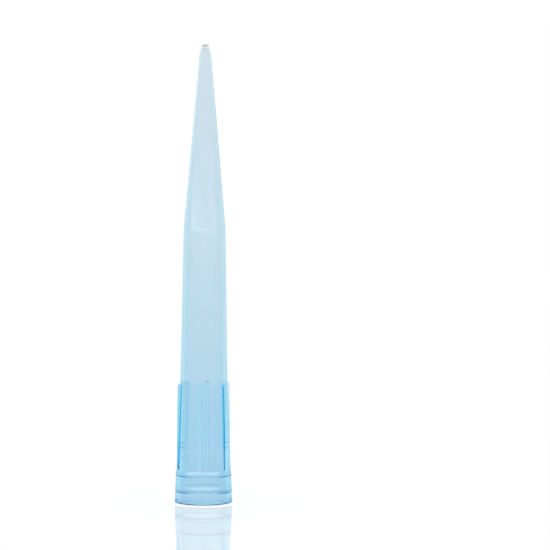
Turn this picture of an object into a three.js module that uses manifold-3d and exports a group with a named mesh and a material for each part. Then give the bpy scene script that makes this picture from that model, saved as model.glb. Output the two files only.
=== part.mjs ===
// A blue 1 ml pipette tip: one thin-walled polypropylene moulding, standing on its mouth.
//
// Millimetres, +Z up. The origin is the centre of the mouth, on the plane of its rim, and the
// narrow end points up. The collar round the mouth is a slow cone with a lip at its rim, two faint
// rings and six thin fins outside, and three small sealing ledges inside. Above the shoulder comes
// the body, a slower cone, and above the bend the long nose, which ends in a short nozzle.

import * as THREE from 'three';
import { mergeVertices } from 'three/addons/utils/BufferGeometryUtils.js';
import Module from 'manifold-3d';

// ---- driving dimensions -------------------------------------------------------------------

const TOTAL_LENGTH = 70.9;

// lengths along the axis; the body takes what they leave
const COLLAR_LENGTH = 18.3;
const SHOULDER_LENGTH = 0.35;
const NOSE_LENGTH = 28.7;
const POINT_LENGTH = 1.3;
const NOZZLE_LENGTH = 0.58;

// outside radii; the taper is the collar's gain in radius for each millimetre down
const COLLAR_TOP_RADIUS = 3.77;
const COLLAR_TAPER = 0.0337;
const SHOULDER_STEP = 0.11;
const BEND_RADIUS = 3.25;
const POINT_BASE_RADIUS = 0.885;
const NOZZLE_RADIUS = 0.54;
const NOZZLE_STEP = 0.13;

// walls, measured square to the axis
const MOUTH_WALL = 0.77;
const SOCKET_END_WALL = 0.765;
const SHOULDER_WALL = 0.54;
const BEND_WALL = 0.36;
const POINT_WALL = 0.24;
const NOZZLE_WALL = 0.21;
const ORIFICE_LENGTH = 0.6;

// lip round the mouth
const LIP_PROUD = 0.03;
const LIP_LENGTH = 0.33;
const LIP_FADE = 0.12;
const MOUTH_CHAMFER = 0.12;

// rings, where the collar's outside takes a small step outwards below each slope
const RINGS = [
  { height: 2.15, step: 0.01 },
  { height: 4.55, step: 0.06 },
];
const RING_SLOPE = 0.5;

// sealing ledges, where the socket takes a small step inwards
const LEDGES = [
  { height: 2.1, rise: 0.15, depth: 0.02 },
  { height: 4.5, rise: 0.15, depth: 0.13 },
  { height: 8.6, rise: 0.6, depth: 0.04 },
];

// fins, with a little draft so that they leave the mould
const FIN_COUNT = 6;
const FIN_ROOT_WIDTH = 0.56;
const FIN_EDGE_WIDTH = 0.46;
const FIN_FOOT_HEIGHT = 5.1;
const FIN_FOOT_PROUD = 0.19;
const FIN_TOP_PROUD = 0.53;
const FIN_ROOT = 0.45;
const FIN_CHAMFER = 0.05;

// radii of the roundings
const RIM_ROUND = 0.07;
const LIP_ROUND = 0.2;
const RING_ROUND = 0.3;
const SHOULDER_ROUND = 0.5;
const BEND_ROUND = 3;
const POINT_ROUND = 1;
const NOZZLE_ROUND = 0.06;
const LEDGE_ROUND = 0.06;

// fineness
const ROUND_FACETS = 60;
const ARC_STEPS = 2;

// ---- worked out from them -----------------------------------------------------------------

const BEND_HEIGHT = TOTAL_LENGTH - NOSE_LENGTH;
const POINT_HEIGHT = TOTAL_LENGTH - POINT_LENGTH;
const BODY_RADIUS = COLLAR_TOP_RADIUS - SHOULDER_STEP;
const LAST_LEDGE = LEDGES[LEDGES.length - 1];
const SOCKET_LENGTH = LAST_LEDGE.height + LAST_LEDGE.rise;

// The collar's outside, without its lip, at a height that has so many rings below it.
function collarRadius(height, ringsBelow = RINGS.length) {
  const steps = RINGS.slice(ringsBelow).reduce((sum, ring) => sum + ring.step, 0);
  return COLLAR_TOP_RADIUS + (COLLAR_LENGTH - height) * COLLAR_TAPER + steps;
}

// How far so many ledges, counted from the mouth, bring the socket in.
function depthOfLedges(count) {
  return LEDGES.slice(0, count).reduce((sum, ledge) => sum + ledge.depth, 0);
}

// The socket at a height that has so many ledges below it.
function socketRadius(height, ledgesBelow) {
  const mouth = collarRadius(0, 0) - MOUTH_WALL;
  const end = collarRadius(SOCKET_LENGTH) - SOCKET_END_WALL + depthOfLedges(LEDGES.length);
  const plain = THREE.MathUtils.mapLinear(height, 0, SOCKET_LENGTH, mouth, end);
  return plain - depthOfLedges(ledgesBelow);
}

// ---- the wall's section -------------------------------------------------------------------
// A corner is its radius from the axis, its height, and the radius of its rounding if it has one.

function corner(radius, height, round = 0) {
  return { place: new THREE.Vector2(radius, height), round };
}

// The outside, from the rim up to the end face.
function outsideCorners() {
  const lipRadius = collarRadius(0, 0) + LIP_PROUD;
  const fadeHeight = LIP_LENGTH + LIP_FADE;
  const nozzleHeight = TOTAL_LENGTH - NOZZLE_LENGTH;
  return [
    corner(lipRadius, 0, RIM_ROUND),
    corner(lipRadius, LIP_LENGTH, LIP_ROUND),
    corner(collarRadius(fadeHeight, 0), fadeHeight, LIP_ROUND),
    ...RINGS.flatMap(({ height }, below) => [
      corner(collarRadius(height, below), height, RING_ROUND),
      corner(collarRadius(height + RING_SLOPE, below + 1), height + RING_SLOPE, RING_ROUND),
    ]),
    corner(COLLAR_TOP_RADIUS, COLLAR_LENGTH),
    corner(BODY_RADIUS, COLLAR_LENGTH + SHOULDER_LENGTH, SHOULDER_ROUND),
    corner(BEND_RADIUS, BEND_HEIGHT, BEND_ROUND),
    corner(POINT_BASE_RADIUS, POINT_HEIGHT, POINT_ROUND),
    corner(NOZZLE_RADIUS + NOZZLE_STEP, nozzleHeight - NOZZLE_STEP, NOZZLE_ROUND),
    corner(NOZZLE_RADIUS, nozzleHeight, NOZZLE_ROUND),
    corner(NOZZLE_RADIUS, TOTAL_LENGTH, NOZZLE_ROUND),
  ];
}

// The bore, from the orifice down to the mouth.
function boreCorners() {
  const orificeRadius = NOZZLE_RADIUS - NOZZLE_WALL;
  const corners = [
    corner(orificeRadius, TOTAL_LENGTH, NOZZLE_ROUND),
    corner(orificeRadius, TOTAL_LENGTH - ORIFICE_LENGTH, NOZZLE_ROUND),
    corner(POINT_BASE_RADIUS - POINT_WALL, POINT_HEIGHT, POINT_ROUND),
    corner(BEND_RADIUS - BEND_WALL, BEND_HEIGHT, BEND_ROUND),
    corner(BODY_RADIUS - SHOULDER_WALL, COLLAR_LENGTH, BEND_ROUND),
  ];
  for (let below = LEDGES.length - 1; below >= 0; below -= 1) {
    const { height, rise } = LEDGES[below];
    corners.push(corner(socketRadius(height + rise, below + 1), height + rise, LEDGE_ROUND));
    corners.push(corner(socketRadius(height, below), height, LEDGE_ROUND));
  }
  corners.push(corner(socketRadius(MOUTH_CHAMFER, 0), MOUTH_CHAMFER));
  corners.push(corner(socketRadius(0, 0) + MOUTH_CHAMFER, 0));
  return corners;
}

// Points along a corner's rounding, which touches both of the sides that meet there.
// It is cut down where a side is too short for it.
function roundedCorner(before, { place, round }, after) {
  const toBefore = before.clone().sub(place);
  const toAfter = after.clone().sub(place);
  const longestReach = 0.45 * Math.min(toBefore.length(), toAfter.length());
  toBefore.normalize();
  toAfter.normalize();
  const halfAngle = Math.acos(toBefore.dot(toAfter)) / 2;
  const reach = Math.min(round / Math.tan(halfAngle), longestReach);
  const start = place.clone().addScaledVector(toBefore, reach);
  const end = place.clone().addScaledVector(toAfter, reach);
  return new THREE.QuadraticBezierCurve(start, place, end).getPoints(ARC_STEPS);
}

function sectionPoints(corners) {
  const points = corners.flatMap((here, index) => {
    if (here.round === 0) {
      return [here.place];
    }
    const before = corners.at(index - 1);
    const after = corners[(index + 1) % corners.length];
    return roundedCorner(before.place, here, after.place);
  });
  return [...points, points[0].clone()];
}

// ---- solids -------------------------------------------------------------------------------

function tube() {
  const section = sectionPoints([...outsideCorners(), ...boreCorners()]);
  return new THREE.LatheGeometry(section, ROUND_FACETS).rotateX(Math.PI / 2);
}

// One fin: its plan, narrower at its outer edge, drawn up the collar and leaning with it, then
// turned to its place. Its root lies inside the collar's wall.
function fin(turn) {
  const footRadius = collarRadius(FIN_FOOT_HEIGHT);
  const rootRadius = footRadius - FIN_ROOT;
  const edgeRadius = footRadius + FIN_FOOT_PROUD;
  const plan = new THREE.Shape([
    new THREE.Vector2(rootRadius, -FIN_ROOT_WIDTH / 2),
    new THREE.Vector2(edgeRadius, -FIN_EDGE_WIDTH / 2),
    new THREE.Vector2(edgeRadius, FIN_EDGE_WIDTH / 2),
    new THREE.Vector2(rootRadius, FIN_ROOT_WIDTH / 2),
  ]);
  const length = COLLAR_LENGTH - FIN_FOOT_HEIGHT;
  const lean = (COLLAR_TOP_RADIUS + FIN_TOP_PROUD - edgeRadius) / length;
  const blade = new THREE.ExtrudeGeometry(plan, {
    depth: length - 2 * FIN_CHAMFER,
    bevelThickness: FIN_CHAMFER,
    bevelSize: FIN_CHAMFER,
    bevelOffset: -FIN_CHAMFER,
    bevelSegments: 1,
  });
  blade.translate(0, 0, FIN_CHAMFER);
  blade.applyMatrix4(new THREE.Matrix4().makeShear(0, 0, 0, 0, lean, 0));
  return blade.translate(0, 0, FIN_FOOT_HEIGHT).rotateZ(turn);
}

// ---- joining ------------------------------------------------------------------------------

const wasm = await Module();
wasm.setup();

function toSolid(geometry) {
  geometry.deleteAttribute('normal');
  geometry.deleteAttribute('uv');
  const merged = mergeVertices(geometry);
  return new wasm.Manifold(new wasm.Mesh({
    numProp: 3,
    vertProperties: merged.attributes.position.array,
    triVerts: new Uint32Array(merged.index.array),
  }));
}

function toGeometry(solid) {
  const mesh = solid.getMesh();
  const geometry = new THREE.BufferGeometry();
  geometry.setAttribute('position', new THREE.BufferAttribute(mesh.vertProperties, 3));
  geometry.setIndex(new THREE.BufferAttribute(mesh.triVerts, 1));
  geometry.computeVertexNormals();
  return geometry;
}

let moulding = toSolid(tube());
for (let index = 0; index < FIN_COUNT; index += 1) {
  const turn = -Math.PI / 2 + (index * 2 * Math.PI) / FIN_COUNT;
  moulding = moulding.add(toSolid(fin(turn)));
}

// ---- the part -----------------------------------------------------------------------------

const bluePolypropylene = new THREE.MeshStandardMaterial({
  color: 0xa9d3ea,
  roughness: 0.25,
  metalness: 0,
});

const tip = new THREE.Mesh(toGeometry(moulding), bluePolypropylene);
tip.name = 'pipette_tip';

const part = new THREE.Group();
part.add(tip);

export default part;
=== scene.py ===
"""A translucent blue pipette tip, standing on its mouth on a glossy white bench."""

import math

import bmesh
import bpy
from mathutils import Matrix, Vector


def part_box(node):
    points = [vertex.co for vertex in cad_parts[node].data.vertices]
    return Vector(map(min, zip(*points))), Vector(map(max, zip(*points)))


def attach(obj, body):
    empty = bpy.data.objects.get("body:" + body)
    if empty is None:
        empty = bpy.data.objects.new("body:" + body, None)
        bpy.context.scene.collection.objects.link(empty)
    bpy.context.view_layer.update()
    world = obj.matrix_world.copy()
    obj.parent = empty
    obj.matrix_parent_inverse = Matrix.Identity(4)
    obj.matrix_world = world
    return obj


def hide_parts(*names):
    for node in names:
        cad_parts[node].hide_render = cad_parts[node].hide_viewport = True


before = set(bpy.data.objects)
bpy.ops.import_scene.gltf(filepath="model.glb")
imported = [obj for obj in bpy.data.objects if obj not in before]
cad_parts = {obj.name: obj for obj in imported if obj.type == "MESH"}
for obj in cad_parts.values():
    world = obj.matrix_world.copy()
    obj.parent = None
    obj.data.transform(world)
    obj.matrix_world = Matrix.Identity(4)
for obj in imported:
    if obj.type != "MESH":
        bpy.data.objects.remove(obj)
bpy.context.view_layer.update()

MM = 0.001
LOW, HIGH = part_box("pipette_tip")

# ---- the moulding's own sizes, in metres ----------------------------------------------------

TOTAL_LENGTH = HIGH.z - LOW.z

COLLAR_LENGTH = 18.3 * MM
SHOULDER_LENGTH = 0.35 * MM
NOSE_LENGTH = 28.7 * MM
POINT_LENGTH = 1.3 * MM
NOZZLE_LENGTH = 0.58 * MM
NOZZLE_STEP = 0.13 * MM

RIM_RADIUS = HIGH.x
COLLAR_TOP_RADIUS = 3.77 * MM
COLLAR_TAPER = 0.0337
LIP_LENGTH = 0.33 * MM
LIP_FADE = 0.12 * MM
SHOULDER_STEP = 0.11 * MM
BEND_RADIUS = 3.25 * MM
POINT_BASE_RADIUS = 0.885 * MM
END_RADIUS = 0.54 * MM

MOUTH_WALL = 0.77 * MM
SOCKET_END_WALL = 0.765 * MM
SHOULDER_WALL = 0.54 * MM
BEND_WALL = 0.36 * MM
POINT_WALL = 0.24 * MM
END_WALL = 0.21 * MM
ORIFICE_LENGTH = 0.6 * MM
MOUTH_CHAMFER = 0.07 * MM

# height, land above it, slope above that, step, and how proud the land stands of the collar below
RINGS = (
    (2.15 * MM, 0.25 * MM, 0.4 * MM, 0.01 * MM, 0.03 * MM),
    (4.55 * MM, 0.0 * MM, 0.54 * MM, 0.06 * MM, 0.0 * MM),
)
RING_UNDERCUT = 0.06 * MM
# height, rise and depth of each
LEDGES = (
    (1.65 * MM, 0.15 * MM, 0.12 * MM),
    (4.05 * MM, 0.15 * MM, 0.13 * MM),
    (8.5 * MM, 0.12 * MM, 0.07 * MM),
    (9.25 * MM, 0.12 * MM, 0.07 * MM),
)

FIN_COUNT = 6
FIN_WIDTH = 0.56 * MM
FIN_DRAFT = 0.85
FIN_FOOT_HEIGHT = 5.1 * MM
FIN_FOOT_PROUD = 0.19 * MM
FIN_TOP_PROUD = 0.53 * MM
FIN_END_PROUD = 0.03 * MM
FIN_RUN_OUT = 0.35 * MM
FIN_ROUND = 0.05 * MM
FIN_ROOT_ROUND = 0.25 * MM

RIM_ROUND = 0.03 * MM
LIP_ROUND = 0.2 * MM
SHOULDER_ROUND = 0.5 * MM
BEND_ROUND = 3 * MM
POINT_ROUND = 1 * MM
END_ROUND = 0.06 * MM
LEDGE_ROUND = 0.06 * MM
RING_ROUND = 0.3 * MM

# where the surface turns by more than this, there is an edge of a fin or of the shoulder
SHARP_TURN = math.radians(35)
# the lines along a fin's root rise by more than this, and those at its foot by less
LEAST_ROOT_LENGTH = 1 * MM
EDGE_SLACK = 0.02 * MM
# smooth shading stops where the surface turns by more than this
SHADING_BREAK = math.radians(40)

# a rounding takes no more than this share of the shorter line beside it
ROUNDING_SHARE = 0.45
ARC_SEGMENTS = 5
FIN_ROOT_SEGMENTS = 4
FIN_EDGE_SEGMENTS = 3
FIN_COLUMNS = 4
PLAIN_COLUMNS = 28
SEAM_GAP = 0.0001 * MM

BEND_HEIGHT = TOTAL_LENGTH - NOSE_LENGTH
POINT_HEIGHT = TOTAL_LENGTH - POINT_LENGTH
BODY_RADIUS = COLLAR_TOP_RADIUS - SHOULDER_STEP
SOCKET_LENGTH = LEDGES[-1][0] + LEDGES[-1][1]


def share(value, low, at_low, high, at_high):
    """The value on the straight line between two known ones."""
    return at_low + (at_high - at_low) * (value - low) / (high - low)


def collar_radius(height, rings_below=len(RINGS)):
    """The collar's outside at a height. Each ring above it adds its step."""
    steps = sum(step for ring_height, land, slope, step, proud in RINGS[rings_below:])
    return COLLAR_TOP_RADIUS + (COLLAR_LENGTH - height) * COLLAR_TAPER + steps


def depth_of_ledges(count):
    """How far so many ledges, counted from the mouth, bring the socket in."""
    return sum(depth for height, rise, depth in LEDGES[:count])


def socket_radius(height, ledges_below):
    """The socket at a height that has so many ledges below it."""
    mouth = collar_radius(0, 0) - MOUTH_WALL
    end = collar_radius(SOCKET_LENGTH) - SOCKET_END_WALL + depth_of_ledges(len(LEDGES))
    return share(height, 0, mouth, SOCKET_LENGTH, end) - depth_of_ledges(ledges_below)


def outside_corners():
    """Each corner's radius, height and rounding, from the rim up to the point's end."""
    fade = LIP_LENGTH + LIP_FADE
    corners = [
        (RIM_RADIUS, 0, RIM_ROUND),
        (RIM_RADIUS, LIP_LENGTH, LIP_ROUND),
        (collar_radius(fade, 0), fade, LIP_ROUND),
    ]
    for below, (height, land, slope, step, proud) in enumerate(RINGS):
        foot = height + land
        top = foot + slope
        if proud:
            edge = height + RING_UNDERCUT
            corners.append((collar_radius(height, below), height, 0))
            corners.append((collar_radius(edge, below) + proud, edge, 0))
        corners.append((collar_radius(foot, below) + proud, foot, RING_ROUND))
        corners.append((collar_radius(top, below + 1), top, RING_ROUND))
    return corners + [
        (collar_radius(FIN_FOOT_HEIGHT), FIN_FOOT_HEIGHT, 0),
        (collar_radius(FIN_FOOT_HEIGHT + FIN_RUN_OUT), FIN_FOOT_HEIGHT + FIN_RUN_OUT, 0),
        (COLLAR_TOP_RADIUS, COLLAR_LENGTH, 0),
        (BODY_RADIUS, COLLAR_LENGTH + SHOULDER_LENGTH, SHOULDER_ROUND),
        (BEND_RADIUS, BEND_HEIGHT, BEND_ROUND),
        (POINT_BASE_RADIUS, POINT_HEIGHT, POINT_ROUND),
        (END_RADIUS + NOZZLE_STEP, TOTAL_LENGTH - NOZZLE_LENGTH - NOZZLE_STEP, END_ROUND),
        (END_RADIUS, TOTAL_LENGTH - NOZZLE_LENGTH, END_ROUND),
        (END_RADIUS, TOTAL_LENGTH, END_ROUND),
    ]


def bore_corners():
    """The same down the bore, from the orifice to the mouth."""
    corners = [
        (END_RADIUS - END_WALL, TOTAL_LENGTH, END_ROUND),
        (END_RADIUS - END_WALL, TOTAL_LENGTH - ORIFICE_LENGTH, END_ROUND),
        (POINT_BASE_RADIUS - POINT_WALL, POINT_HEIGHT, POINT_ROUND),
        (BEND_RADIUS - BEND_WALL, BEND_HEIGHT, BEND_ROUND),
        (BODY_RADIUS - SHOULDER_WALL, COLLAR_LENGTH, BEND_ROUND),
    ]
    for below in range(len(LEDGES) - 1, -1, -1):
        height, rise, depth = LEDGES[below]
        corners.append((socket_radius(height + rise, below + 1), height + rise, LEDGE_ROUND))
        corners.append((socket_radius(height, below), height, LEDGE_ROUND))
    corners.append((socket_radius(MOUTH_CHAMFER, 0), MOUTH_CHAMFER, 0))
    corners.append((socket_radius(0, 0) + MOUTH_CHAMFER, 0, 0))
    return corners


# ---- moulding ---------------------------------------------------------------------------------


def draw_section(bm):
    """Draws the wall's section as a closed outline facing -Y and rounds its corners."""
    corners = outside_corners() + bore_corners()
    points = [Vector((0, -radius, height)) for radius, height, rounding in corners]
    verts = [bm.verts.new(point) for point in points]
    for index in range(len(verts)):
        bm.edges.new((verts[index - 1], verts[index]))
    for index, (radius, height, rounding) in enumerate(corners):
        if not rounding:
            continue
        back = points[index - 1] - points[index]
        on = points[(index + 1) % len(points)] - points[index]
        reach = rounding / math.tan(back.angle(on) / 2)
        reach = min(reach, ROUNDING_SHARE * min(back.length, on.length))
        bmesh.ops.bevel(
            bm, geom=[verts[index]], offset=reach, offset_type="ABSOLUTE", affect="VERTICES",
            segments=ARC_SEGMENTS, profile=0.5, material=-1,
        )


def spin_tube(bm, fin_angle):
    """Spins the section about the axis. Each fin gets columns of faces of its own."""
    half_back = Matrix.Rotation(-fin_angle / 2, 3, "Z")
    bmesh.ops.rotate(bm, verts=bm.verts, cent=(0, 0, 0), matrix=half_back)
    outline = bm.verts[:] + bm.edges[:]
    plain_angle = 2 * math.pi / FIN_COUNT - fin_angle
    for index in range(FIN_COUNT):
        for angle, steps in ((fin_angle, FIN_COLUMNS), (plain_angle, PLAIN_COLUMNS)):
            spun = bmesh.ops.spin(
                bm, geom=outline, cent=(0, 0, 0), axis=(0, 0, 1), angle=angle, steps=steps
            )
            outline = spun["geom_last"]
    bmesh.ops.remove_doubles(bm, verts=bm.verts, dist=SEAM_GAP)
    bmesh.ops.recalc_face_normals(bm, faces=bm.faces)


def raise_fin(bm, turn, fin_angle):
    """Draws one fin out of the collar's outside, further at its top, and lets its foot run out."""
    way = Vector((math.sin(turn), -math.cos(turn), 0))
    faces = []
    for face in bm.faces:
        middle = face.calc_center_median()
        flat = Vector((middle.x, middle.y, 0))
        if not FIN_FOOT_HEIGHT < middle.z < COLLAR_LENGTH or face.normal.dot(flat) < 0:
            continue
        if flat.angle(way) < fin_angle / 2:
            faces.append(face)
    made = bmesh.ops.extrude_face_region(bm, geom=faces)
    bmesh.ops.delete(bm, geom=faces, context="FACES")
    moved = [item for item in made["geom"] if isinstance(item, bmesh.types.BMVert)]
    slope = (FIN_TOP_PROUD - FIN_FOOT_PROUD) / (COLLAR_LENGTH - FIN_FOOT_HEIGHT)
    shear = Matrix.Identity(4)
    shear[0][2], shear[1][2] = way.x * slope, way.y * slope
    at_zero = FIN_FOOT_PROUD - slope * FIN_FOOT_HEIGHT
    shear[0][3], shear[1][3] = way.x * at_zero, way.y * at_zero
    bmesh.ops.transform(bm, matrix=shear, verts=moved)
    draft = Matrix.Scale(FIN_DRAFT, 4, Vector((way.y, -way.x, 0)))
    bmesh.ops.transform(bm, matrix=draft, verts=moved)
    foot = [vert for vert in moved if vert.co.z < FIN_FOOT_HEIGHT + EDGE_SLACK]
    bmesh.ops.translate(bm, verts=foot, vec=way * (FIN_END_PROUD - FIN_FOOT_PROUD))


def bent_edges(bm):
    """The edges outside, from the fins' feet to the shoulder, where the surface turns sharply."""
    edges = []
    for edge in bm.edges:
        low, high = sorted(vert.co.z for vert in edge.verts)
        middle = (edge.verts[0].co + edge.verts[1].co) / 2
        outside = Vector((middle.x, middle.y)).length > collar_radius(middle.z) - EDGE_SLACK
        in_height = low > FIN_FOOT_HEIGHT - EDGE_SLACK and high < COLLAR_LENGTH + EDGE_SLACK
        if outside and in_height and edge.calc_face_angle() > SHARP_TURN:
            edges.append(edge)
    return edges


def root_edges(bm):
    """The upright lines where the fins leave the collar."""
    edges = []
    for edge in bent_edges(bm):
        low, high = sorted(vert.co.z for vert in edge.verts)
        if high - low > LEAST_ROOT_LENGTH and not edge.is_convex:
            edges.append(edge)
    return edges


def crisp_edges(bm):
    """The fins' outer edges and the shoulder's, which the mould leaves almost sharp."""
    return [edge for edge in bent_edges(bm) if edge.is_convex]


def make_tip():
    """The whole moulding as one closed mesh."""
    bm = bmesh.new()
    draw_section(bm)
    middle_radius = collar_radius((COLLAR_LENGTH + FIN_FOOT_HEIGHT) / 2)
    fin_angle = 2 * math.asin(FIN_WIDTH / 2 / middle_radius)
    spin_tube(bm, fin_angle)
    for index in range(FIN_COUNT):
        raise_fin(bm, 2 * math.pi * index / FIN_COUNT, fin_angle)
    bmesh.ops.bevel(
        bm, geom=root_edges(bm), offset=FIN_ROOT_ROUND, offset_type="OFFSET", affect="EDGES",
        segments=FIN_ROOT_SEGMENTS, profile=0.5, material=-1, clamp_overlap=True,
    )
    bmesh.ops.bevel(
        bm, geom=crisp_edges(bm), offset=FIN_ROUND, offset_type="OFFSET", affect="EDGES",
        segments=FIN_EDGE_SEGMENTS, profile=0.5, material=-1, clamp_overlap=True,
    )
    for face in bm.faces:
        face.smooth = True
    mesh = bpy.data.meshes.new("moulded_tip")
    bm.to_mesh(mesh)
    bm.free()
    mesh.set_sharp_from_angle(angle=SHADING_BREAK)
    tip = bpy.data.objects.new("moulded_tip", mesh)
    bpy.context.scene.collection.objects.link(tip)
    even = tip.modifiers.new("even_shading", "WEIGHTED_NORMAL")
    even.keep_sharp = True
    even.weight = 100
    return tip


# ---- materials --------------------------------------------------------------------------------


class Wire:
    """A socket that can stand in an expression. Each operator adds a Math node."""

    def __init__(self, shader, socket):
        self.shader = shader
        self.socket = socket

    def math(self, operation, first, second):
        return self.shader.node("ShaderNodeMath", {"operation": operation}, {0: first, 1: second})

    def __add__(self, other):
        return self.math("ADD", self, other)

    def __radd__(self, other):
        return self.math("ADD", other, self)

    def __sub__(self, other):
        return self.math("SUBTRACT", self, other)

    def __rsub__(self, other):
        return self.math("SUBTRACT", other, self)

    def __mul__(self, other):
        return self.math("MULTIPLY", self, other)

    def __rmul__(self, other):
        return self.math("MULTIPLY", other, self)

    def __pow__(self, other):
        return self.math("POWER", self, other)

    def __or__(self, other):
        return self.math("MAXIMUM", self, other)


class Shader:
    """A node tree that is being wired up."""

    def __init__(self, owner):
        owner.use_nodes = True
        self.owner = owner
        self.tree = owner.node_tree
        self.tree.nodes.clear()

    def node(self, kind, settings=None, sockets=None, output=0):
        """Adds a node. Its settings come first, then its sockets' values and links."""
        node = self.tree.nodes.new(kind)
        for name, value in (settings or {}).items():
            setattr(node, name, value)
        for name, value in (sockets or {}).items():
            if isinstance(value, Wire):
                self.tree.links.new(value.socket, node.inputs[name])
            else:
                node.inputs[name].default_value = value
        return Wire(self, node.outputs[output]) if node.outputs else None

    def ramp(self, value, low, high, at_low=0.0, at_high=1.0, way="SMOOTHSTEP"):
        """Goes from one number to another as the value goes from low to high."""
        return self.node(
            "ShaderNodeMapRange",
            {"interpolation_type": way, "clamp": True},
            {"Value": value, "From Min": low, "From Max": high, "To Min": at_low, "To Max": at_high},
        )

    def mix(self, factor, first, second):
        """The colour that lies that far from the first to the second."""
        settings = {"data_type": "RGBA"}
        return self.node("ShaderNodeMix", settings, {0: factor, 6: first, 7: second}, output=2)

    def noise(self, spot, scale, detail):
        """Smooth chance values from 0 to 1, finer with a larger scale."""
        sockets = {"Vector": spot, "Scale": scale, "Detail": detail}
        return self.node("ShaderNodeTexNoise", None, sockets)

    def place(self):
        """Where on the object a point is, how far that is from the axis, and how high."""
        spot = self.node("ShaderNodeTexCoord", output="Object")
        x, y, z = (self.node("ShaderNodeSeparateXYZ", None, {0: spot}, axis) for axis in "XYZ")
        return spot, (x * x + y * y) ** 0.5, z


WHITE = (1, 1, 1, 1)

PLASTIC_IOR = 1.49
ROUGHNESS = 0.13
ROUGHNESS_SPREAD = 0.03
GRAIN_SCALE = 2500.0
# what the surfaces of one wall leave of the light, where it is thin and thick
THIN_TINT = (0.88, 0.877, 0.911, 1)
THICK_TINT = (0.8385, 0.824, 0.9138, 1)
FIN_TINT = (0.98, 0.98, 0.98, 1)
FIN_TINT_START = 0.02 * MM
FIN_TINT_FULL = 0.1 * MM
FIN_TINT_FADE = 0.05 * MM
# painted shade at the foot: the lowest part of the wall is darker and less blue, fading out up to the
# top height
FOOT_PAINTED_SHADE = (0.84, 0.84, 0.76, 1)
FOOT_PAINTED_SHADE_FULL = 0.1 * MM
FOOT_PAINTED_SHADE_TOP = 0.25 * MM
# the point's end is greyer than the rest, and a dark band of painted shade lies inside the orifice
NOZZLE_TINT = (0.905, 0.866, 0.866, 1)
NOZZLE_TINT_START = TOTAL_LENGTH - 2.4 * MM
ORIFICE_PAINTED_SHADE = (0.4, 0.4, 0.41, 1)
ORIFICE_SHADE_LOW = TOTAL_LENGTH - 0.25 * MM
ORIFICE_SHADE_HIGH = TOTAL_LENGTH - 0.15 * MM
ORIFICE_SHADE_FADE = 0.04 * MM
# faint clouds in the plastic
MOTTLE_TINT = (0.72, 0.76, 0.86, 1)
MOTTLE_DEPTH = 0.12
MOTTLE_SCALE = 350.0
# painted shade: the fine dark line in the corner under each ring
CORNER_WIDTH = 0.07 * MM
CORNER_DROP = 0.1 * MM
CORNER_SHADES = (0.68, 0.3)
CORNER_PAINTED_SHADE = (0.1, 0.12, 0.2, 1)
CORNER_SHADE_OUTSIDE_FADE = 0.3 * MM
# the slight unevenness that a mould leaves
WAVE_HEIGHT = 0.004 * MM
WAVE_STRENGTH = 0.3
WAVE_SCALE = 900.0
# what the dye takes from light in a metre is the density times one minus the colour
DYE_COLOR = (0.4625, 0.93125, 0.9875, 1)
DYE_DENSITY = 800


def wall_tint(plastic, z):
    """The wall's own tint: lightest at the point, and deeper down to the socket as the wall thickens."""
    step_end = COLLAR_LENGTH + SHOULDER_LENGTH
    collar_extra = SOCKET_END_WALL - SHOULDER_WALL
    extra = plastic.ramp(z, SOCKET_LENGTH, COLLAR_LENGTH, collar_extra, SHOULDER_STEP, "LINEAR")
    extra = extra - plastic.ramp(z, COLLAR_LENGTH, step_end, 0, SHOULDER_STEP, "LINEAR")
    extra = extra + plastic.ramp(z, COLLAR_LENGTH, BEND_HEIGHT, SHOULDER_WALL - BEND_WALL, 0, "LINEAR")
    extra = extra + plastic.ramp(z, BEND_HEIGHT, POINT_HEIGHT, BEND_WALL - POINT_WALL, 0, "LINEAR")
    return plastic.mix(extra * (1 / (SOCKET_END_WALL - POINT_WALL)), THIN_TINT, THICK_TINT)


def fin_mask(plastic, radius, z):
    """1 on the fins and 0 on the collar between them."""
    proud = radius + z * COLLAR_TAPER - (COLLAR_TOP_RADIUS + COLLAR_LENGTH * COLLAR_TAPER)
    above = plastic.ramp(z, FIN_FOOT_HEIGHT - FIN_TINT_FADE, FIN_FOOT_HEIGHT)
    below = plastic.ramp(z, COLLAR_LENGTH, COLLAR_LENGTH + FIN_TINT_FADE, 1.0, 0.0)
    return plastic.ramp(proud, FIN_TINT_START, FIN_TINT_FULL) * above * below


def orifice_shade_mask(plastic, radius, z):
    """1 in a narrow band inside the orifice, where shade is painted."""
    inside = plastic.ramp(radius, END_RADIUS - END_WALL, END_RADIUS - 0.5 * END_WALL, 1.0, 0.0)
    above = plastic.ramp(z, ORIFICE_SHADE_LOW - ORIFICE_SHADE_FADE, ORIFICE_SHADE_LOW)
    below = plastic.ramp(z, ORIFICE_SHADE_HIGH, ORIFICE_SHADE_HIGH + ORIFICE_SHADE_FADE, 1.0, 0.0)
    return inside * above * below


def painted_corner_shade(plastic, radius, z, height):
    """1 in the corner under the ring at that height, on the outside only, where shade is painted."""
    low = height - CORNER_DROP - CORNER_WIDTH
    high = height - CORNER_DROP + CORNER_WIDTH
    above = plastic.ramp(z, low, low + 0.5 * CORNER_WIDTH)
    below = plastic.ramp(z, high - 0.5 * CORNER_WIDTH, high, 1.0, 0.0)
    outside = plastic.ramp(radius, COLLAR_TOP_RADIUS, COLLAR_TOP_RADIUS + CORNER_SHADE_OUTSIDE_FADE)
    return above * below * outside


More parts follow.
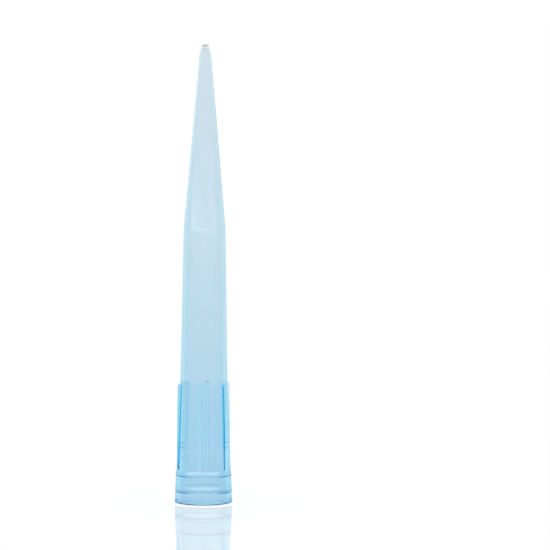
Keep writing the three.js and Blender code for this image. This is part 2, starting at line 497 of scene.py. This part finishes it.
def polypropylene():
    """Slightly cloudy plastic, dyed through, so that it looks deeper where the wall is thick. Shade is
    painted into its colour at the foot, inside the orifice and in the corner under each ring.
    """
    plastic = Shader(bpy.data.materials.new("blue_polypropylene"))
    spot, radius, z = plastic.place()
    tint = plastic.mix(fin_mask(plastic, radius, z), wall_tint(plastic, z), FIN_TINT)
    # painted shade at the foot, where the tip stands on the bench
    foot_shade = plastic.ramp(z, FOOT_PAINTED_SHADE_FULL, FOOT_PAINTED_SHADE_TOP, 1.0, 0.0)
    tint = plastic.mix(foot_shade, tint, FOOT_PAINTED_SHADE)
    nozzle = plastic.ramp(z, NOZZLE_TINT_START, TOTAL_LENGTH - NOZZLE_LENGTH)
    tint = plastic.mix(nozzle, tint, NOZZLE_TINT)
    # painted shade: a dark band inside the orifice
    tint = plastic.mix(orifice_shade_mask(plastic, radius, z), tint, ORIFICE_PAINTED_SHADE)
    # painted shade: a fine dark line in the corner under each ring
    for (height, land, slope, step, proud), depth in zip(RINGS, CORNER_SHADES):
        tint = plastic.mix(depth * painted_corner_shade(plastic, radius, z, height), tint, CORNER_PAINTED_SHADE)
    mottle = plastic.noise(spot, MOTTLE_SCALE, 2.0)
    grain = plastic.noise(spot, GRAIN_SCALE, 3.0)
    wave = plastic.noise(spot, WAVE_SCALE, 1.0)
    normal = plastic.node("ShaderNodeBump", None, {
        "Strength": WAVE_STRENGTH,
        "Distance": WAVE_HEIGHT,
        "Height": wave,
    })
    surface = plastic.node("ShaderNodeBsdfPrincipled", None, {
        "Base Color": plastic.mix(MOTTLE_DEPTH * mottle, tint, MOTTLE_TINT),
        "Roughness": ROUGHNESS + ROUGHNESS_SPREAD * (grain - 0.5),
        "IOR": PLASTIC_IOR,
        "Transmission Weight": 1.0,
        "Normal": normal,
    })
    dye = plastic.node("ShaderNodeVolumeAbsorption", None, {
        "Color": DYE_COLOR,
        "Density": DYE_DENSITY,
    })
    plastic.node("ShaderNodeOutputMaterial", None, {"Surface": surface, "Volume": dye})
    return plastic.owner


BENCH_GLOW = 0.75
# painted light: extra glow close round the tip's foot, which lifts its shadow there
FOOT_PAINTED_LIGHT = 0.2
BENCH_GLOSS = 0.46
# the bench is matt up to here from the axis and glossy from there on
GLOSS_START = 5.0 * MM
GLOSS_FULL = 5.4 * MM
# seen through the tip, it is dark up to here and light from there on
SHADE_FULL = 3.6 * MM
SHADE_END = 5.0 * MM


def bench():
    """White and glossy. The eye sees it as white, and it still keeps the tip's shadow, except close
    round the foot, where painted light makes it fainter.
    """
    board = Shader(bpy.data.materials.new("glossy_bench"))
    radius = board.place()[1]
    path = {
        name: board.node("ShaderNodeLightPath", output=name)
        for name in ("Is Camera Ray", "Is Glossy Ray", "Is Transmission Ray")
    }
    under_tip = board.ramp(radius, SHADE_FULL, SHADE_END, 1.0, 0.0)
    through = path["Is Transmission Ray"]
    seen = path["Is Camera Ray"] | path["Is Glossy Ray"] | through
    matt = board.node("ShaderNodeBsdfDiffuse", None, {"Color": WHITE})
    mirror = board.node("ShaderNodeBsdfGlossy", None, {"Color": WHITE, "Roughness": 0.0})
    glow = board.node("ShaderNodeEmission", None, {"Strength": 1.0})
    # painted light: more glow close round the foot lifts the tip's shadow there
    by_the_foot = board.ramp(radius, GLOSS_START, GLOSS_FULL, 1.0, 0.0)
    base = board.node("ShaderNodeMixShader", None, {
        0: (BENCH_GLOW + FOOT_PAINTED_LIGHT * by_the_foot) * (1 - under_tip * through),
        1: matt,
        2: glow,
    })
    glossy = board.node("ShaderNodeMixShader", None, {
        0: BENCH_GLOSS * path["Is Camera Ray"] * board.ramp(radius, GLOSS_START, GLOSS_FULL),
        1: base,
        2: mirror,
    })
    surface = board.node("ShaderNodeMixShader", None, {0: seen, 1: matt, 2: glossy})
    board.node("ShaderNodeOutputMaterial", None, {"Surface": surface})
    return board.owner


tip = make_tip()
tip.data.materials.append(polypropylene())
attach(tip, "root")
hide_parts("pipette_tip")

# ---- bench, light and camera --------------------------------------------------------------------

BENCH_SIZE = 4
BENCH_GAP = 0.23 * MM
bpy.ops.mesh.primitive_plane_add(size=BENCH_SIZE, location=(0, 0, -BENCH_GAP))
floor = bpy.context.object
floor.name = "bench"
floor.data.materials.append(bench())

# the strip light's lower and upper edge and the ends where it fades out, as parts of a direction
STRIP_STRENGTH = 5.5
STRIP_LOW = 0.087
STRIP_HIGH = 0.137
STRIP_FADE = 0.01
STRIP_FULL = -0.4
STRIP_END = -0.1


def white_room():
    """White all round, with a long, low strip light in front of the bench."""
    room = Shader(bpy.data.worlds.new("white_room"))
    spot = room.node("ShaderNodeTexCoord", output="Generated")
    y, z = (room.node("ShaderNodeSeparateXYZ", None, {0: spot}, axis) for axis in "YZ")
    strip = room.ramp(z, STRIP_LOW - STRIP_FADE, STRIP_LOW + STRIP_FADE)
    strip = strip * room.ramp(z, STRIP_HIGH - STRIP_FADE, STRIP_HIGH + STRIP_FADE, 1.0, 0.0)
    strip = strip * room.ramp(y, STRIP_FULL, STRIP_END, 1.0, 0.0)
    light = room.node("ShaderNodeBackground", None, {
        "Color": WHITE,
        "Strength": 1.0 + STRIP_STRENGTH * strip,
    })
    room.node("ShaderNodeOutputWorld", None, {"Surface": light})
    return room.owner


bpy.context.scene.world = white_room()

CAMERA_DISTANCE = 260 * MM
CAMERA_HEIGHT = 39.6 * MM
CAMERA_AZIMUTH = math.radians(8)
CAMERA_YAW = math.radians(2.4134)
CAMERA_PITCH = math.radians(0.9575)
CAMERA_ROLL = math.radians(0.29)
CAMERA_LENS = 109.6

camera_data = bpy.data.cameras.new("camera")
camera_data.lens = CAMERA_LENS
camera_data.sensor_width = 36
camera_data.clip_start = 0.01
camera = bpy.data.objects.new("camera", camera_data)
bpy.context.scene.collection.objects.link(camera)
camera.location = (
    CAMERA_DISTANCE * math.sin(CAMERA_AZIMUTH),
    -CAMERA_DISTANCE * math.cos(CAMERA_AZIMUTH),
    CAMERA_HEIGHT,
)
aim = Matrix.Rotation(CAMERA_AZIMUTH - CAMERA_YAW, 4, "Z")
aim = aim @ Matrix.Rotation(math.radians(90) - CAMERA_PITCH, 4, "X")
aim = aim @ Matrix.Rotation(CAMERA_ROLL, 4, "Z")
camera.rotation_euler = aim.to_euler()
bpy.context.scene.camera = camera

bpy.context.scene.view_settings.view_transform = "Standard"

# light goes through many walls and along them, so it may turn often, and nothing of it is blurred away
LIGHT_TURNS = 128
cycles = bpy.context.scene.cycles
cycles.max_bounces = LIGHT_TURNS
cycles.transmission_bounces = LIGHT_TURNS
cycles.glossy_bounces = LIGHT_TURNS
cycles.diffuse_bounces = 4
cycles.blur_glossy = 0.0
